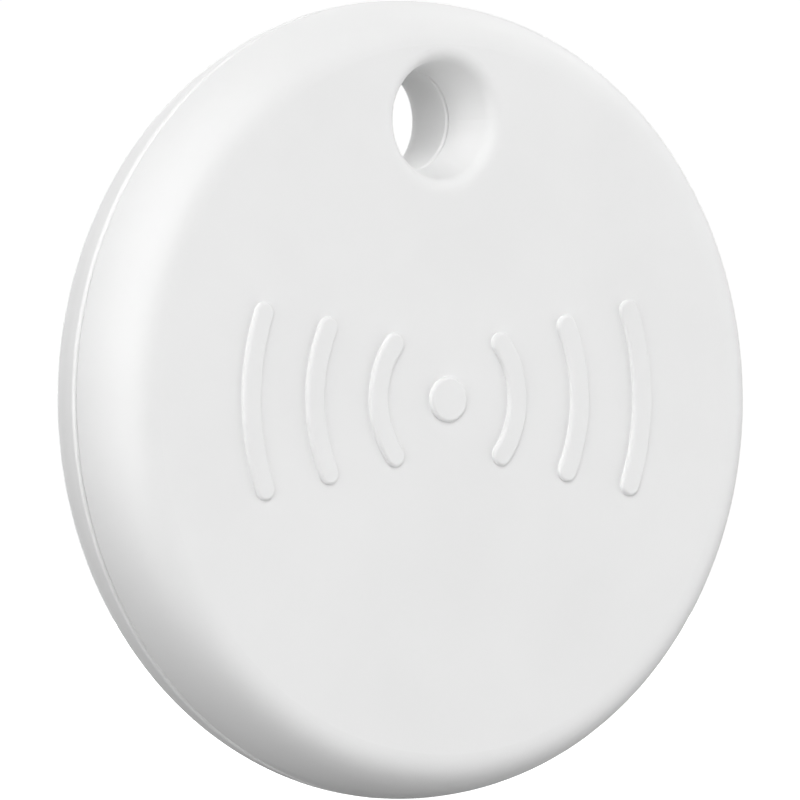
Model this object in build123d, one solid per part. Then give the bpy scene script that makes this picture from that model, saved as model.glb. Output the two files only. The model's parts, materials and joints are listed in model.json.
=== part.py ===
from build123d import *
import os
from math import cos, radians, sin, tan

# A round Bluetooth tracker tag with a key-ring hole, in millimetres.
# Frame: +Z is up, the front face looks along -Y, and the origin is the centre of the
# key-ring hole on the plane where the two covers meet.

# ---------------------------------------------------------------- case
case_radius = 19.4            # the two covers together make a disc of 38.8 mm
front_depth = 4.0             # parting plane to front face
rear_depth = 3.35             # parting plane to rear face
front_edge_width = 2.2        # how far the soft rounding reaches in from the rim
rear_edge_width = 2.4
front_edge_pull = 0.8         # how long the rounding stays close to the face, from 0 to 1
rear_edge_pull = 0.65
edge_rim_pull = 0.4           # how long it stays close to the rim
front_wall = 1.1
rear_wall = 1.0
press_travel = 0.12           # how far the front cover clicks in
parting_gap = 0.16            # closed by the seals, wider than the press travel
rear_rim_break = 0.18         # rounded corners of the covers beside the parting line
front_rim_break = 0.1
seal_setback = 0.3            # how deep the seals sit in the parting line
seal_bore_slack = 0.05

# Lip of the rear cover that the front cover's skirt snaps over
lip_radius = 18.25
lip_thickness = 0.8
lip_height = 1.5
skirt_bore_radius = 18.35
skirt_bore_depth = 1.9
snap_bead_height = 0.08
snap_bead_y = -0.8
snap_bead_width = 0.4
snap_root = 0.2               # how far the bead's section reaches into its cylinder
snap_groove_slack = 0.06
front_cavity_flat_radius = 16.9
front_cavity_corner = 0.5
floor_corner_radius = 0.3
merge = 0.1                   # overlap where two shapes of one part are joined

# ---------------------------------------------------------------- key-ring hole
keyring_height = 13.56        # hole centre above the centre of the disc
keyring_radius = 2.46
tube_radius = 3.5             # rear cover's tube round the hole
tube_front_y = -0.8
tube_edge_break = 0.15
keyring_exit_radius = 2.0     # rounding of the hole where it leaves the rear face
sleeve_radius = 4.6           # front cover's sleeve round the hole
sleeve_neck_radius = 2.48
sleeve_taper = 8.5            # degrees, the sleeve's bore widens toward the front
mouth_edge_radius = 0.7       # soft rounding where the bore meets the front face
sleeve_socket_radius = 3.6
sleeve_rear_y = 0.4
sleeve_clearance = 0.15
sleeve_end_gap = 0.1          # left behind the sleeve when the front cover is pressed

# ---------------------------------------------------------------- raised mark
mark_height = 0.22
mark_stroke = 1.1
mark_edge_radius = 0.17
mark_dot_radius = 1.1
mark_arc_radii = (4.2, 8.0, 11.8)
mark_arc_half_angles = (40, 26, 21)

# ---------------------------------------------------------------- buzzer, front to rear
buzzer_drop = 4.0             # centre of the buzzer below the centre of the disc
buzzer_plate_radius = 12.5
buzzer_plate_thickness = 0.2
buzzer_adhesive_thickness = 0.1
buzzer_adhesive_width = 1.2
buzzer_ceramic_radius = 10.5
buzzer_ceramic_thickness = 0.2
buzzer_electrode_radius = 10.2
buzzer_electrode_thickness = 0.03
buzzer_rib_gap = 0.1
buzzer_rib_width = 0.6
buzzer_rib_height = 0.4

# ---------------------------------------------------------------- circuit board
board_thickness = 0.6
board_radius = 17.1
board_hole_clearance = 0.3
stake_radius = 0.5
stake_hole_radius = 0.6
stake_head_radius = 0.85
stake_head_height = 0.3
stake_ring_radius = 15.4
stake_bearings = (10, 183, 248)

# ---------------------------------------------------------------- coin cell, 20 x 3.2 mm
cell_radius = 10.0
cell_thickness = 3.2
cell_drop = 2.8               # centre of the cell below the centre of the disc
cell_board_gap = 0.5          # room for the leaf contact behind the cell
cell_sheet = 0.25
cell_edge_radius = 0.5
cell_cap_radius = 8.8
cell_rim_step = 0.2           # how far the negative cap stands out behind the can
cell_curl_width = 0.75        # how far the can's rim reaches in over the seal
cell_seal_height = 2.4
cell_anode_thickness = 0.55
cell_separator_thickness = 0.1

holder_bore_radius = 10.15
holder_radius = 11.2
holder_height = 3.1
holder_edge_break = 0.2
holder_pin_gap_width = 6.4    # opening at the bottom where the spring pins stand
holder_pin_gap_height = 6.0
holder_window_reach = 4.0     # openings for the side contacts, under a bridge
holder_window_slack = 0.3
holder_bridge = 0.4
contact_bearings = (20, 200)  # side contacts, seen from the centre of the cell
contact_sheet = 0.2
contact_width = 3.0
contact_side_gap = 0.03
contact_foot_reach = 1.6
contact_height = 2.6
leaf_thickness = 0.15
leaf_hub_radius = 2.4
leaf_root = 0.6               # how far each arm reaches into the hub
leaf_tip_length = 1.0         # upturned end of each arm
leaf_arm_reach = 7.4
leaf_arm_width = 1.8
leaf_lift = 0.35

# ---------------------------------------------------------------- push switch
switch_x = 11.5
switch_rise = 7.5             # above the centre of the disc
switch_size = 4.0
switch_height = 1.5
switch_cover_sheet = 0.15
switch_well_radius = 1.6
switch_well_depth = 0.9
switch_plunger_radius = 0.9
switch_plunger_clearance = 0.1
switch_plunger_edge = 0.15
switch_plunger_reach = 0.5    # how far the plunger stands out of the switch
switch_flange_radius = 1.25
switch_flange_thickness = 0.25
switch_dome_radius = 1.45
switch_dome_rise = 0.35
switch_dome_sheet = 0.08
switch_dome_crown_radius = 0.5
switch_leg_offset = 1.2
switch_leg_width = 0.7
switch_leg_reach = 0.6
switch_leg_sheet = 0.15
post_radius = 1.0
post_gap = 0.02

# ---------------------------------------------------------------- spring pins to the buzzer
pin_ceramic_place = (-1.2, -13.75)   # from the centre of the disc, X then Z
pin_plate_place = (1.6, -15.5)
pin_barrel_radius = 0.7
pin_barrel_bore = 0.52
pin_barrel_height = 3.1
pin_barrel_base = 0.3
pin_crimp_bore = 0.4
pin_crimp_height = 0.2
pin_plunger_radius = 0.36
pin_piston_radius = 0.48
pin_piston_length = 0.7
pin_tip_radius = 0.2
pin_exposed = 1.55            # contact point to the piston's shoulder
pin_spring_radius = 0.36
pin_spring_wire = 0.07
pin_spring_turns = 5

# ---------------------------------------------------------------- chips on the board
# name: (X, Z from the centre of the disc, width, height, thickness, turn in degrees)
chips = {
    "radio_chip": (-11.2, 7.6, 5.0, 5.0, 0.85, 0),
    "main_crystal": (-7.4, 10.0, 2.0, 1.6, 0.5, 0),
    "clock_crystal": (-14.7, 3.2, 1.5, 3.2, 0.8, 0),
    "boost_inductor": (14.0, -2.6, 3.0, 3.0, 1.5, 0),
    "buzzer_driver": (12.0, -8.4, 2.5, 2.5, 0.75, 0),
    "chip_antenna": (-11.2, -10.6, 3.2, 1.6, 1.0, -46.6),
    "reservoir_capacitor": (-14.2, -3.9, 1.6, 3.2, 1.2, 0),
}
chip_edge_break = 0.08
small_part_length = 1.0
small_part_width = 0.5
small_part_ring_radius = 15.8
small_part_spacing = 4        # degrees
capacitor_bearings = range(108, 132, small_part_spacing)
resistor_bearings = range(52, 76, small_part_spacing)
capacitor_thickness = 0.5
resistor_thickness = 0.35
pad_radius = 0.55
pad_thickness = 0.04
pad_ring_radius = 15.5
pad_bearings = range(-72, -47, 6)

# ---------------------------------------------------------------- places worked out from the above
disc_z = -keyring_height
front_face_y = -front_depth
front_inner_y = front_face_y + front_wall
rear_inner_y = rear_depth - rear_wall
board_front_y = rear_inner_y - board_thickness
cell_rear_y = board_front_y - cell_board_gap
cell_front_y = cell_rear_y - cell_thickness
cell_z = disc_z - cell_drop
buzzer_z = disc_z - buzzer_drop
plate_front_y = front_inner_y + buzzer_adhesive_thickness
plate_rear_y = plate_front_y + buzzer_plate_thickness
ceramic_rear_y = plate_rear_y + buzzer_ceramic_thickness
electrode_rear_y = ceramic_rear_y + buzzer_electrode_thickness
switch_z = disc_z + switch_rise
switch_front_y = board_front_y - switch_height
plunger_tip_y = switch_front_y - switch_plunger_reach
sleeve_shoulder_y = tube_front_y - parting_gap


def slab(sketch, front, rear):
    """Fill a sketch drawn in X and Z from the front depth to the rear depth."""
    plane = Plane((0, rear, 0), x_dir=(1, 0, 0), z_dir=(0, -1, 0))
    return extrude(plane * sketch, amount=rear - front)


def disc(radius, front, rear, x=0, z=0):
    return slab(Pos(x, z) * Circle(radius), front, rear)


def ring(outer, inner, front, rear, x=0, z=0):
    return disc(outer, front, rear, x, z) - disc(inner, front, rear, x, z)


def block(width, height, front, rear, x=0, z=0, turn=0):
    return slab(Pos(x, z) * Rot(0, 0, turn) * Rectangle(width, height), front, rear)


def turned(outline, z=0, x=0):
    """Turn an outline of radius and depth about the axis through X and Z."""
    return revolve(Plane((x, 0, z)) * outline, Axis((x, 0, z), (0, 1, 0)))


def outline_of(*corners):
    return make_face(Polyline(*corners, close=True))


def on_disc(radius, bearing, z=disc_z):
    """X and Z of the point at a distance and a bearing from a centre on the disc's axis."""
    return radius * cos(radians(bearing)), z + radius * sin(radians(bearing))


def cover_outline(face_y, rim_y, edge_width, edge_pull):
    """Half section of a cover's outside: flat face, soft rounding, straight at the rim."""
    flat_radius = case_radius - edge_width
    depth = face_y - rim_y
    rounding = Bezier(
        (flat_radius, face_y),
        (flat_radius + edge_pull * edge_width, face_y),
        (case_radius, rim_y + edge_rim_pull * depth),
        (case_radius, rim_y),
    )
    face_line = Line((0, face_y), (flat_radius, face_y))
    back = Polyline((case_radius, rim_y), (0, rim_y), (0, face_y))
    return make_face(face_line + rounding + back)


def edges_at(part, y, radius, z, slack=0.01):
    """Circular edges of a given radius about the axis through Z, at a given depth."""
    circles = part.edges().filter_by(GeomType.CIRCLE)
    return circles.filter_by(
        lambda e: abs(e.radius - radius) < slack
        and abs(e.arc_center.Y - y) < slack
        and abs(e.arc_center.Z - z) < slack
    )


# ---------------------------------------------------------------- covers
def front_cavity():
    bore_end = -skirt_bore_depth
    corner = Bezier(
        (front_cavity_flat_radius, front_inner_y),
        (skirt_bore_radius - front_cavity_corner, front_inner_y),
        (skirt_bore_radius, front_inner_y + front_cavity_corner),
        (skirt_bore_radius, bore_end),
    )
    rest = Polyline(
        (skirt_bore_radius, bore_end),
        (skirt_bore_radius, 0),
        (0, 0),
        (0, front_inner_y),
        (front_cavity_flat_radius, front_inner_y),
    )
    return turned(make_face(corner + rest), disc_z)


def snap_ring(radius, width):
    """A ring of triangular section that stands out of a cylinder by the bead's height."""
    half = width / 2
    section = outline_of(
        (radius - snap_root, snap_bead_y - half),
        (radius, snap_bead_y - half),
        (radius + snap_bead_height, snap_bead_y),
        (radius, snap_bead_y + half),
        (radius - snap_root, snap_bead_y + half),
    )
    return turned(section, disc_z)


def sleeve_bore():
    """The key-ring hole through the front cover: a bore that widens toward the front."""
    start_y = front_face_y - merge
    widening = tan(radians(sleeve_taper)) * (sleeve_shoulder_y - start_y)
    return turned(
        outline_of(
            (0, start_y),
            (sleeve_neck_radius + widening, start_y),
            (sleeve_neck_radius, sleeve_shoulder_y),
            (0, sleeve_shoulder_y),
        )
    )


def mouth_edges(part):
    """The edges where the key-ring hole leaves the front face."""

    def is_near(edge):
        box = edge.bounding_box()
        reach = max(abs(box.min.X), abs(box.max.X), abs(box.min.Z), abs(box.max.Z))
        return reach < sleeve_radius and box.max.Y < (front_face_y + front_inner_y) / 2

    return part.edges().filter_by(is_near)


def raised_mark():
    """A generic signal mark: a dot with sound waves on both sides."""
    strokes = Circle(mark_dot_radius)
    for radius, half_angle in zip(mark_arc_radii, mark_arc_half_angles):
        for side in (0, 180):
            arc = CenterArc((0, 0), radius, side - half_angle, 2 * half_angle)
            strokes += SlotArc(arc, mark_stroke)
    raised = slab(Pos(0, disc_z) * strokes, front_face_y - mark_height, front_face_y)
    tops = raised.faces().filter_by(Axis.Y).group_by(Axis.Y)[0]
    return fillet(tops.edges(), mark_edge_radius)


def front_cover():
    outline = cover_outline(front_face_y, -parting_gap, front_edge_width, front_edge_pull)
    shell = turned(outline, disc_z)
    shell = fillet(edges_at(shell, -parting_gap, case_radius, disc_z), front_rim_break)
    shell -= front_cavity()
    shell += disc(sleeve_radius, front_inner_y - merge, sleeve_rear_y)
    shell -= sleeve_bore()
    shell = fillet(mouth_edges(shell), mouth_edge_radius)
    shell -= disc(sleeve_socket_radius, sleeve_shoulder_y, sleeve_rear_y)
    shell -= snap_ring(skirt_bore_radius, snap_bead_width + 2 * snap_groove_slack)
    rib_inner = buzzer_plate_radius + buzzer_rib_gap
    rib = ring(
        rib_inner + buzzer_rib_width,
        rib_inner,
        front_inner_y - merge,
        front_inner_y + buzzer_rib_height,
        z=buzzer_z,
    )
    post = disc(post_radius, front_inner_y - merge, plunger_tip_y - post_gap, switch_x, switch_z)
    return shell + rib + post + raised_mark()


def heat_stakes():
    """Plastic posts of the rear cover that hold the board, with melted-over heads."""
    stakes = Part()
    for bearing in stake_bearings:
        x, z = on_disc(stake_ring_radius, bearing)
        head_front_y = board_front_y - stake_head_height
        stakes += disc(stake_radius, head_front_y, rear_inner_y + merge, x, z)
        stakes += disc(stake_head_radius, head_front_y, board_front_y, x, z)
    return stakes


def rear_cover():
    shell = turned(cover_outline(rear_depth, 0, rear_edge_width, rear_edge_pull), disc_z)
    shell = fillet(edges_at(shell, 0, case_radius, disc_z), rear_rim_break)
    lip = disc(lip_radius, -lip_height, 0, z=disc_z) + snap_ring(lip_radius, snap_bead_width)
    lip_opening = sleeve_radius + 2 * sleeve_clearance
    shell += lip - disc(lip_opening, -lip_height, 0)
    cavity = disc(lip_radius - lip_thickness, -lip_height, rear_inner_y, z=disc_z)
    cavity_floor = cavity.edges().group_by(Axis.Y)[-1]
    shell -= fillet(cavity_floor, floor_corner_radius)
    pocket_rear_y = sleeve_rear_y + press_travel + sleeve_end_gap
    shell -= disc(sleeve_radius + sleeve_clearance, -lip_height, pocket_rear_y)
    tube = disc(tube_radius, tube_front_y, rear_inner_y + merge)
    shell += tube + heat_stakes()
    shell -= disc(keyring_radius, tube_front_y, rear_depth)
    shell = fillet(edges_at(shell, tube_front_y, keyring_radius, 0), tube_edge_break)
    return shell - keyring_exit()


def keyring_exit():
    """Rounding of the hole where it leaves the rear face."""
    start_y = rear_depth - keyring_exit_radius
    outer = keyring_radius + keyring_exit_radius
    bend = CenterArc((outer, start_y), keyring_exit_radius, 90, 90)
    rest = Polyline(
        (outer, rear_depth),
        (outer, rear_depth + 1),
        (0, rear_depth + 1),
        (0, start_y),
        (keyring_radius, start_y),
    )
    return turned(make_face(bend + rest))


def seal_ring():
    outer = case_radius - seal_setback
    return ring(outer, lip_radius + seal_bore_slack, -parting_gap, 0, z=disc_z)


def keyhole_seal():
    return ring(tube_radius, keyring_radius + seal_setback, sleeve_shoulder_y, tube_front_y)


# ---------------------------------------------------------------- buzzer
def buzzer():
    inner = buzzer_plate_radius - buzzer_adhesive_width
    return {
        "buzzer_adhesive": ring(
            buzzer_plate_radius, inner, front_inner_y, plate_front_y, z=buzzer_z
        ),
        "buzzer_plate": disc(buzzer_plate_radius, plate_front_y, plate_rear_y, z=buzzer_z),
        "buzzer_ceramic": disc(buzzer_ceramic_radius, plate_rear_y, ceramic_rear_y, z=buzzer_z),
        "buzzer_electrode": disc(
            buzzer_electrode_radius, ceramic_rear_y, electrode_rear_y, z=buzzer_z
        ),
    }


# ---------------------------------------------------------------- coin cell
def cell_can():
    """The positive can: a cup open to the rear with its rim curled over the seal."""
    wall = cell_sheet
    rim_y = cell_rear_y - cell_rim_step
    cup = disc(cell_radius, cell_front_y, rim_y, z=cell_z)
    front_edge = cup.edges().group_by(Axis.Y)[0]
    rear_edge = cup.edges().group_by(Axis.Y)[-1]
    cup = fillet(front_edge + rear_edge, cell_edge_radius)
    hollow = disc(cell_radius - wall, cell_front_y + wall, rim_y - wall, z=cell_z)
    mouth = disc(cell_radius - cell_curl_width, rim_y - wall, rim_y, z=cell_z)
    return cup - hollow - mouth


def cell_cap():
    """The negative cap: a shallow cup, open to the front, that the seal grips."""
    cup = disc(cell_cap_radius, cell_rear_y - cell_seal_height, cell_rear_y, z=cell_z)
    cup = fillet(cup.edges().group_by(Axis.Y)[-1], cell_sheet)
    inner = cell_cap_radius - cell_sheet
    hollow = disc(inner, cell_rear_y - cell_seal_height, cell_rear_y - cell_sheet, z=cell_z)
    return cup - hollow


def cell_inside():
    inner = cell_cap_radius - cell_sheet
    anode_rear_y = cell_rear_y - cell_sheet
    anode_front_y = anode_rear_y - cell_anode_thickness
    separator_front_y = anode_front_y - cell_separator_thickness
    seal_rear_y = cell_rear_y - cell_rim_step - cell_sheet
    return {
        "cell_seal": ring(
            cell_radius - cell_sheet,
            cell_cap_radius,
            cell_front_y + cell_sheet,
            seal_rear_y,
            z=cell_z,
        ),
        "cell_anode": disc(inner, anode_front_y, anode_rear_y, z=cell_z),
        "cell_separator": disc(inner, separator_front_y, anode_front_y, z=cell_z),
        "cell_cathode": disc(inner, cell_front_y + cell_sheet, separator_front_y, z=cell_z),
    }


def battery_holder():
    top_y = board_front_y - holder_height
    body = ring(holder_radius, holder_bore_radius, top_y, board_front_y, z=cell_z)
    front_edges = body.edges().group_by(Axis.Y)[0]
    body = chamfer(front_edges, holder_edge_break)
    body -= block(
        holder_pin_gap_width,
        holder_pin_gap_height,
        top_y,
        board_front_y,
        z=cell_z - holder_radius,
    )
    window_width = contact_width + 2 * holder_window_slack
    for bearing in contact_bearings:
        x, z = on_disc(holder_radius, bearing, cell_z)
        window_front_y = top_y + holder_bridge
        body -= block(
            holder_window_reach, window_width, window_front_y, board_front_y, x, z, bearing
        )
    return body


def side_contact(bearing):
    """One spring arm against the side of the can, with its foot on the board."""
    inner = cell_radius + contact_side_gap
    top_y = board_front_y - contact_height
    arm = ring(inner + contact_sheet, inner, top_y, board_front_y, z=cell_z)
    foot = ring(
        inner + contact_foot_reach, inner, board_front_y - contact_sheet, board_front_y, z=cell_z
    )
    x, z = on_disc(inner + contact_foot_reach, bearing, cell_z)
    strip = block(3 * contact_foot_reach, contact_width, top_y, board_front_y, x, z, bearing)
    return (arm + foot) & strip


def negative_contact():
    """Three leaf arms that press on the cell's cap from a hub soldered to the board."""
    hub_front_y = board_front_y - leaf_thickness
    tip_y = hub_front_y - leaf_lift
    contact = disc(leaf_hub_radius, hub_front_y, board_front_y, z=cell_z)
    rise = outline_of(
        (leaf_hub_radius - leaf_root, hub_front_y),
        (leaf_hub_radius - leaf_root, board_front_y),
        (leaf_hub_radius, board_front_y),
        (leaf_arm_reach - leaf_tip_length, tip_y + leaf_thickness),
        (leaf_arm_reach, tip_y + 2 * leaf_thickness),
        (leaf_arm_reach, tip_y + leaf_thickness),
        (leaf_arm_reach - leaf_tip_length, tip_y),
        (leaf_hub_radius, hub_front_y),
    )
    arm = extrude(Plane((0, 0, cell_z)) * rise, amount=leaf_arm_width / 2, both=True)
    for turn in (90, 210, 330):
        contact += arm.rotate(Axis((0, 0, cell_z), (0, -1, 0)), turn)
    return contact


# ---------------------------------------------------------------- switch
def switch():
    sheet_rear_y = switch_front_y + switch_cover_sheet
    well_rear_y = sheet_rear_y + switch_well_depth
    body = block(switch_size, switch_size, sheet_rear_y, board_front_y, switch_x, switch_z)
    body -= disc(switch_well_radius, sheet_rear_y, well_rear_y, switch_x, switch_z)
    cover = block(switch_size, switch_size, switch_front_y, sheet_rear_y, switch_x, switch_z)
    opening = switch_plunger_radius + switch_plunger_clearance
    cover -= disc(opening, switch_front_y, sheet_rear_y, switch_x, switch_z)

    flange_rear_y = sheet_rear_y + switch_flange_thickness
    plunger = disc(switch_plunger_radius, plunger_tip_y, flange_rear_y, switch_x, switch_z)
    plunger = fillet(plunger.edges().group_by(Axis.Y)[0], switch_plunger_edge)
    plunger += disc(switch_flange_radius, sheet_rear_y, flange_rear_y, switch_x, switch_z)

    return {
        "switch_body": body,
        "switch_cover": cover,
        "switch_plunger": plunger,
        "switch_dome": switch_dome(well_rear_y),
        "switch_legs": switch_legs(),
    }


def switch_dome(rim_y):
    """The snap dome that gives the click: a shallow cone of thin steel with a flat crown."""
    crown_y = rim_y - switch_dome_rise
    section = outline_of(
        (0, crown_y),
        (switch_dome_crown_radius, crown_y),
        (switch_dome_radius, rim_y),
        (switch_dome_radius, rim_y - switch_dome_sheet),
        (switch_dome_crown_radius, crown_y - switch_dome_sheet),
        (0, crown_y - switch_dome_sheet),
    )
    return turned(section, switch_z, switch_x)


def switch_legs():
    legs = Part()
    for side in (-1, 1):
        for end in (-1, 1):
            legs += block(
                switch_leg_reach,
                switch_leg_width,
                board_front_y - switch_leg_sheet,
                board_front_y,
                switch_x + side * (switch_size + switch_leg_reach) / 2,
                switch_z + end * switch_leg_offset,
            )
    return legs


# ---------------------------------------------------------------- spring pins
def pin_barrel(x, z):
    top_y = board_front_y - pin_barrel_height
    barrel = disc(pin_barrel_radius, top_y, board_front_y, x, z)
    barrel -= disc(pin_barrel_bore, top_y + pin_crimp_height, board_front_y - pin_barrel_base, x, z)
    return barrel - disc(pin_crimp_bore, top_y, top_y + pin_crimp_height, x, z)


def pin_plunger(x, z, contact_y):
    shoulder_y = contact_y + pin_exposed
    stem = disc(pin_plunger_radius, contact_y, shoulder_y, x, z)
    stem = fillet(stem.edges().group_by(Axis.Y)[0], pin_tip_radius)
    return stem + disc(pin_piston_radius, shoulder_y, shoulder_y + pin_piston_length, x, z)


def pin_spring(x, z, contact_y):
    start_y = contact_y + pin_exposed + pin_piston_length + pin_spring_wire
    end_y = board_front_y - pin_barrel_base - pin_spring_wire
    height = end_y - start_y
    path = Helix(height / pin_spring_turns, height, pin_spring_radius)
    section = Plane(path @ 0, z_dir=path % 0) * Circle(pin_spring_wire)
    coil = sweep(section, path)
    upright = Plane((x, start_y, z), x_dir=(1, 0, 0), z_dir=(0, 1, 0))
    return upright * coil


def spring_pins():
    places = ((pin_ceramic_place, electrode_rear_y), (pin_plate_place, plate_rear_y))
    barrels, plungers, springs = Part(), Part(), Part()
    for (x, rise), contact_y in places:
        z = disc_z + rise
        barrels += pin_barrel(x, z)
        plungers += pin_plunger(x, z, contact_y)
        springs += pin_spring(x, z, contact_y)
    return {"pin_barrels": barrels, "pin_plungers": plungers, "pin_springs": springs}


# ---------------------------------------------------------------- board and chips
def circuit_board():
    board = disc(board_radius, board_front_y, rear_inner_y, z=disc_z)
    board -= disc(tube_radius + board_hole_clearance, board_front_y, rear_inner_y)
    for bearing in stake_bearings:
        x, z = on_disc(stake_ring_radius, bearing)
        board -= disc(stake_hole_radius, board_front_y, rear_inner_y, x, z)
    return board


def chip(x, rise, width, height, thickness, turn):
    body = block(width, height, board_front_y - thickness, board_front_y, x, disc_z + rise, turn)
    front_edges = body.edges().group_by(Axis.Y)[0]
    return chamfer(front_edges, chip_edge_break)


def small_parts(bearings, thickness):
    """A row of equal small parts on an arc near the rim of the board."""
    row = Part()
    for bearing in bearings:
        x, z = on_disc(small_part_ring_radius, bearing)
        row += block(
            small_part_length,
            small_part_width,
            board_front_y - thickness,
            board_front_y,
            x,
            z,
            bearing,
        )
    return row


def test_pads():
    pads = Part()
    for bearing in pad_bearings:
        x, z = on_disc(pad_ring_radius, bearing)
        pads += disc(pad_radius, board_front_y - pad_thickness, board_front_y, x, z)
    return pads


# ---------------------------------------------------------------- assembly
nodes = {
    "front_cover": front_cover(),
    "rear_cover": rear_cover(),
    "seal_ring": seal_ring(),
    "keyhole_seal": keyhole_seal(),
    "circuit_board": circuit_board(),
    "cell_can": cell_can(),
    "cell_cap": cell_cap(),
    "battery_holder": battery_holder(),
    "positive_contacts": side_contact(contact_bearings[0]) + side_contact(contact_bearings[1]),
    "negative_contact": negative_contact(),
    "capacitors": small_parts(capacitor_bearings, capacitor_thickness),
    "resistors": small_parts(resistor_bearings, resistor_thickness),
    "test_pads": test_pads(),
}
nodes.update(buzzer())
nodes.update(cell_inside())
nodes.update(switch())
nodes.update(spring_pins())
for name, size in chips.items():
    nodes[name] = chip(*size)

os.makedirs("parts", exist_ok=True)
for name, solid in nodes.items():
    solid.label = name
    export_step(solid, f"parts/{name}.step")
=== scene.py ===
import bmesh
import bpy
import json
from math import atan2, copysign, cos, degrees, pi, radians, sin
from mathutils import Matrix, Vector


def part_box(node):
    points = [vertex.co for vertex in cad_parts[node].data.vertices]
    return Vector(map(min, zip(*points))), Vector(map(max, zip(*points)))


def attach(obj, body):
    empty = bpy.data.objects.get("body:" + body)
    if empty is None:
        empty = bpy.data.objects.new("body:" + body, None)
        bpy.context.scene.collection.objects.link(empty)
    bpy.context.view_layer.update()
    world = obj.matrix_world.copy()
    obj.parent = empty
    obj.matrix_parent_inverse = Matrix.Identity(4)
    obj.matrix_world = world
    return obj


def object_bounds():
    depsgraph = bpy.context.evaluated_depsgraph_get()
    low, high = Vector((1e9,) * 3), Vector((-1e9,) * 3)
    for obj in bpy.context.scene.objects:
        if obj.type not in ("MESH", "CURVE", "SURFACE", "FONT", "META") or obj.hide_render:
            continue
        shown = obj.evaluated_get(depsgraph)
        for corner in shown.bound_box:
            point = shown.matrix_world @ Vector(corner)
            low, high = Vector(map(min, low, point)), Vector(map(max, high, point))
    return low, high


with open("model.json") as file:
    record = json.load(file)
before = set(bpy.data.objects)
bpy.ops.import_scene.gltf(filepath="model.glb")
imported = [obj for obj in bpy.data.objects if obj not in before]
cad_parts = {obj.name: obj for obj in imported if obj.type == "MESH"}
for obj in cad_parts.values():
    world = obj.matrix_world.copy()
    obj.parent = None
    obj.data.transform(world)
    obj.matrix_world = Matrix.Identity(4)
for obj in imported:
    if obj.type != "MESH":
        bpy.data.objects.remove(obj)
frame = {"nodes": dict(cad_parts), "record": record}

# Looks for a round Bluetooth tracker tag. Lengths are in metres unless a name says otherwise.
MM = 0.001
cad_low, cad_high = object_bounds()

rear_low, rear_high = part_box("rear_cover")
disc_centre = Vector(((rear_low.x + rear_high.x) / 2, 0, (rear_low.z + rear_high.z) / 2))
can_low, can_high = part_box("cell_can")
cell_centre = (can_low + can_high) / 2


# ---------------------------------------------------------------- node helpers
FIRST_VECTOR_LEVEL = 7        # where the Map Range node's four vector levels start


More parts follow.
